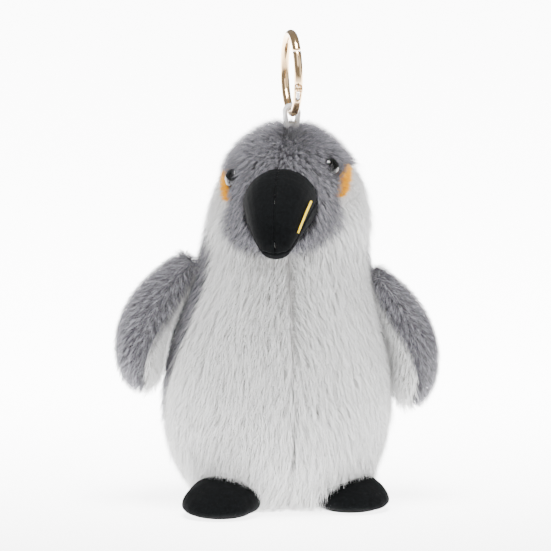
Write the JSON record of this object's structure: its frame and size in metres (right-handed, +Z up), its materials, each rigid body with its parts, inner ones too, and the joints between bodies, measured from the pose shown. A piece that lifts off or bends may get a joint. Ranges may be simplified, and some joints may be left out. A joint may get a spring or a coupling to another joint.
{
  "type": "plush penguin with ring",
  "caption": "Standing stuffed penguin in long pile with soft wings, feet and beak, and a spring gate ring on a ribbon loop at its crown.",
  "frame": {"origin": "on the floor, at the middle of the object's footprint box", "axes": "+Z up, -Y the way the penguin faces, +X the penguin's own left"},
  "size_m": [0.1099, 0.0933, 0.1664],
  "materials": {
    "grey_plush": "long pile faux fur, matt",
    "white_plush": "long pile faux fur, matt",
    "orange_plush": "short pile plush, matt",
    "black_suede": "short pile plush, matt",
    "yellow_thread": "embroidery thread, satin",
    "clear_plastic": "clear acrylic, polished",
    "black_plastic": "polished",
    "nylon_washer": "moulded nylon",
    "stuffing": "polyester fibre fill",
    "ribbon": "woven satin ribbon",
    "gold": "polished light gold plating",
    "spring_steel": "spring steel"
  },
  "bodies": {
    "penguin_body": {"belly_panel_left": "white_plush", "back_panel_left": "grey_plush", "hood_panel_left": "grey_plush", "ear_patch_left": "orange_plush", "beak_upper_left": "black_suede", "mouth_stitch_left": "yellow_thread", "eye_dome_left": "clear_plastic", "eye_disc_left": "black_plastic", "eye_washer_left": "nylon_washer", "belly_panel_right": "white_plush", "back_panel_right": "grey_plush", "hood_panel_right": "grey_plush", "ear_patch_right": "orange_plush", "beak_upper_right": "black_suede", "mouth_stitch_right": "yellow_thread", "eye_dome_right": "clear_plastic", "eye_disc_right": "black_plastic", "eye_washer_right": "nylon_washer", "base_panel": "white_plush", "beak_lower": "black_suede", "beak_stuffing": "stuffing", "body_stuffing": "stuffing", "head_stuffing": "stuffing"},
    "wing_left": {"wing_outer_left": "grey_plush", "wing_inner_left": "white_plush", "wing_pad_left": "stuffing"},
    "foot_left": {"foot_upper_left": "black_suede", "foot_sole_left": "black_suede", "foot_stuffing_left": "stuffing"},
    "wing_right": {"wing_outer_right": "grey_plush", "wing_inner_right": "white_plush", "wing_pad_right": "stuffing"},
    "foot_right": {"foot_upper_right": "black_suede", "foot_sole_right": "black_suede", "foot_stuffing_right": "stuffing"},
    "tail_flap": {"tail": "grey_plush"},
    "loop": {"hang_loop": "ribbon"},
    "ring": {"ring_body": "gold", "gate_pin": "gold", "gate_spring": "spring_steel"},
    "gate": {"ring_gate": "gold"}
  },
  "joints": [
    {"name": "wing_left_lift", "type": "hinge", "parent": "penguin_body", "child": "wing_left", "pos_m": [0.03155, 0.00265, 0.0822], "axis": [0.1564, -0.9877, 0], "range_deg": [-2, 60], "stiffness_Nm_per_rad": 0.02},
    {"name": "wing_right_lift", "type": "hinge", "parent": "penguin_body", "child": "wing_right", "pos_m": [-0.02765, 0.00165, 0.087], "axis": [-0.1564, 0.9877, 0], "range_deg": [-4, 60], "stiffness_Nm_per_rad": 0.02},
    {"name": "foot_left_flex", "type": "hinge", "parent": "penguin_body", "child": "foot_left", "pos_m": [0.02094, -0.00905, 0.0126], "axis": [-0.7986, -0.6018, 0], "range_deg": [0, 25], "stiffness_Nm_per_rad": 0.02},
    {"name": "foot_right_flex", "type": "hinge", "parent": "penguin_body", "child": "foot_right", "pos_m": [-0.01651, -0.02066, 0.0126], "axis": [-0.9336, 0.3584, 0], "range_deg": [0, 25], "stiffness_Nm_per_rad": 0.02},
    {"name": "tail_flex", "type": "hinge", "parent": "penguin_body", "child": "tail_flap", "pos_m": [-0.00475, 0.03585, 0.016], "axis": [0.9877, 0.1564, 0], "range_deg": [-15, 35], "stiffness_Nm_per_rad": 0.01},
    {"name": "loop_flex", "type": "hinge", "parent": "penguin_body", "child": "loop", "pos_m": [0.00545, 0.00365, 0.1316], "axis": [-0.1736, 0.9848, 0], "range_deg": [-25, 25], "stiffness_Nm_per_rad": 0.01},
    {"name": "ring_swing", "type": "hinge", "parent": "loop", "child": "ring", "pos_m": [0.00545, 0.00365, 0.1374], "axis": [-0.1736, 0.9848, 0], "range_deg": [-75, 75]},
    {"name": "gate_open", "type": "hinge", "parent": "ring", "child": "gate", "pos_m": [0.00775, -0.00937, 0.14736], "axis": [-0.9848, -0.1736, 0], "range_deg": [0, 40], "stiffness_Nm_per_rad": 0.01}
  ]
}
